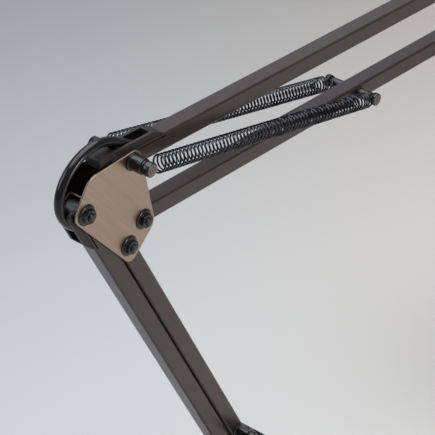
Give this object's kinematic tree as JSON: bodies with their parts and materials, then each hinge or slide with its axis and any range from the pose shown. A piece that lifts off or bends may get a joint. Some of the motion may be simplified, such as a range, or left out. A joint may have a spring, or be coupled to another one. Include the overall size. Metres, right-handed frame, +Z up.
{
  "type": "architect desk lamp",
  "caption": "Swing-arm desk lamp with sprung parallelogram arms of square tube, bronze elbow plates, a bell shade and a round weighted base.",
  "frame": {"origin": "middle of the base's underside, on the swivel axis", "axes": "+Z up along the swivel axis, +X forwards from the base towards the shade, the arms move in the XZ plane"},
  "size_m": [0.6456, 0.23, 0.5071],
  "materials": {
    "black_paint": "satin bronze-black powder coat",
    "shade_enamel": "spun aluminium with satin bronze-black enamel",
    "brushed_bronze": "brushed champagne bronze",
    "black_steel": "black oxide",
    "plain_steel": "turned",
    "spring_steel": "black oiled wire",
    "bearing_brass": "turned, oiled",
    "nylon": "natural",
    "black_plastic": "moulded satin",
    "cable_jacket": "satin jacket",
    "cast_iron": "raw casting",
    "rubber_foot": "matt",
    "frosted_glass": "frosted",
    "bulb_metal": "threaded shell"
  },
  "bodies": {
    "root": {"base_pad": "rubber_foot", "base_weight": "cast_iron", "base_cover": "black_paint", "base_socket": "plain_steel", "base_socket_nut": "plain_steel", "base_cable_inlet": "black_plastic"},
    "swivel": {"swivel_washer": "nylon", "swivel_stem": "plain_steel", "swivel_block": "black_steel", "base_bracket_near": "brushed_bronze", "base_bracket_far": "brushed_bronze", "bracket_bolts": "black_steel", "bracket_nuts": "black_steel", "base_pivot_bolts": "black_steel", "base_pivot_nuts": "black_steel", "base_pivot_washers": "nylon", "base_spring_posts": "black_steel", "base_spring_axle": "plain_steel"},
    "lower_rear": {"lower_rear_bar": "black_paint", "lower_cable_hood": "black_plastic", "lower_rear_bushes": "bearing_brass"},
    "lower_front": {"lower_front_bar": "black_paint", "lower_front_bushes": "bearing_brass", "lower_spring_post": "black_steel"},
    "lower_springs": {"lower_spring_near": "spring_steel", "lower_spring_far": "spring_steel"},
    "elbow": {"elbow_plate_near": "brushed_bronze", "elbow_plate_far": "brushed_bronze", "elbow_bolts": "black_steel", "elbow_nuts": "black_steel", "elbow_washers": "nylon", "elbow_spring_posts": "black_steel", "elbow_spring_axle": "plain_steel", "elbow_cable": "cable_jacket"},
    "upper_top": {"upper_top_bar": "black_paint", "upper_cable_hood": "black_plastic", "upper_top_bushes": "bearing_brass"},
    "upper_bottom": {"upper_bottom_bar": "black_paint", "upper_bottom_bushes": "bearing_brass", "upper_spring_post": "black_steel"},
    "upper_springs": {"upper_spring_near": "spring_steel", "upper_spring_far": "spring_steel"},
    "head_bracket": {"head_plate_near": "brushed_bronze", "head_plate_far": "brushed_bronze", "head_pivot_bolts": "black_steel", "head_pivot_nuts": "black_steel", "head_washers": "nylon", "tilt_bolt": "black_steel"},
    "tilt_knob": {"tilt_knob": "black_plastic"},
    "head": {"head_knuckle": "black_steel", "shade_cap": "shade_enamel", "switch_body": "black_plastic", "shade": "shade_enamel", "lamp_holder": "black_plastic", "shade_ring": "black_plastic", "bulb_base": "bulb_metal", "bulb_glass": "frosted_glass"},
    "switch": {"switch_knob": "black_plastic"}
  },
  "joints": [
    {"name": "base_swivel", "type": "hinge", "parent": "root", "child": "swivel", "pos_m": [0, 0, 0.036], "axis": [0, 0, 1], "range_deg": [-160, 160]},
    {"name": "lower_arm", "type": "hinge", "parent": "swivel", "child": "lower_rear", "pos_m": [-0.017, 0, 0.11], "axis": [0, 1, 0], "range_deg": [0, 66], "deforming": ["elbow_cable", "lower_spring_near", "lower_spring_far"]},
    {"name": "lower_front_link", "type": "hinge", "parent": "swivel", "child": "lower_front", "pos_m": [0.0171, 0, 0.0698], "axis": [0, 1, 0], "range_deg": [-0.5, 66.5]},
    {"name": "elbow_link", "type": "hinge", "parent": "lower_rear", "child": "elbow", "pos_m": [-0.19235, 0, 0.46952], "axis": [0, 1, 0], "range_deg": [-66.5, 0.5]},
    {"name": "lower_spring_stretch", "type": "slide", "parent": "lower_front", "child": "lower_springs", "axis": [-0.9421, 0, 0.3354], "range_m": [-0.001, 0.04762]},
    {"name": "upper_arm", "type": "hinge", "parent": "elbow", "child": "upper_top", "pos_m": [-0.15265, 0, 0.48562], "axis": [0, -1, 0], "range_deg": [-15, 45], "deforming": ["upper_spring_near", "upper_spring_far"]},
    {"name": "upper_bottom_link", "type": "hinge", "parent": "elbow", "child": "upper_bottom", "pos_m": [-0.14475, 0, 0.44112], "axis": [0, -1, 0], "range_deg": [-15.5, 45.5]},
    {"name": "head_link", "type": "hinge", "parent": "upper_top", "child": "head_bracket", "pos_m": [0.24617, 0, 0.45493], "axis": [0, -1, 0], "range_deg": [-45.5, 15.5]},
    {"name": "upper_spring_stretch", "type": "slide", "parent": "upper_bottom", "child": "upper_springs", "axis": [1, 0, 0], "range_m": [-0.0125, 0.035]},
    {"name": "shade_tilt", "type": "hinge", "parent": "head_bracket", "child": "head", "pos_m": [0.31407, 0, 0.42043], "axis": [0, -1, 0], "range_deg": [-40, 60]},
    {"name": "tilt_knob_turn", "type": "hinge", "parent": "head_bracket", "child": "tilt_knob", "pos_m": [0.31407, 0, 0.42043], "axis": [0, -1, 0], "range_deg": [0, 180]},
    {"name": "switch_turn", "type": "hinge", "parent": "head", "child": "switch", "pos_m": [0.35707, 0, 0.43243], "axis": [0, 0, 1], "range_deg": [0, 90]}
  ],
  "couplings": [
    {"joint": "lower_front_link", "follows": "lower_arm", "ratio": 1},
    {"joint": "elbow_link", "follows": "lower_arm", "ratio": -1},
    {"joint": "lower_spring_stretch", "follows": "lower_arm", "m_per_rad": 0.040474},
    {"joint": "upper_bottom_link", "follows": "upper_arm", "ratio": 1},
    {"joint": "head_link", "follows": "upper_arm", "ratio": -1},
    {"joint": "upper_spring_stretch", "follows": "upper_arm", "m_per_rad": 0.0425}
  ]
}
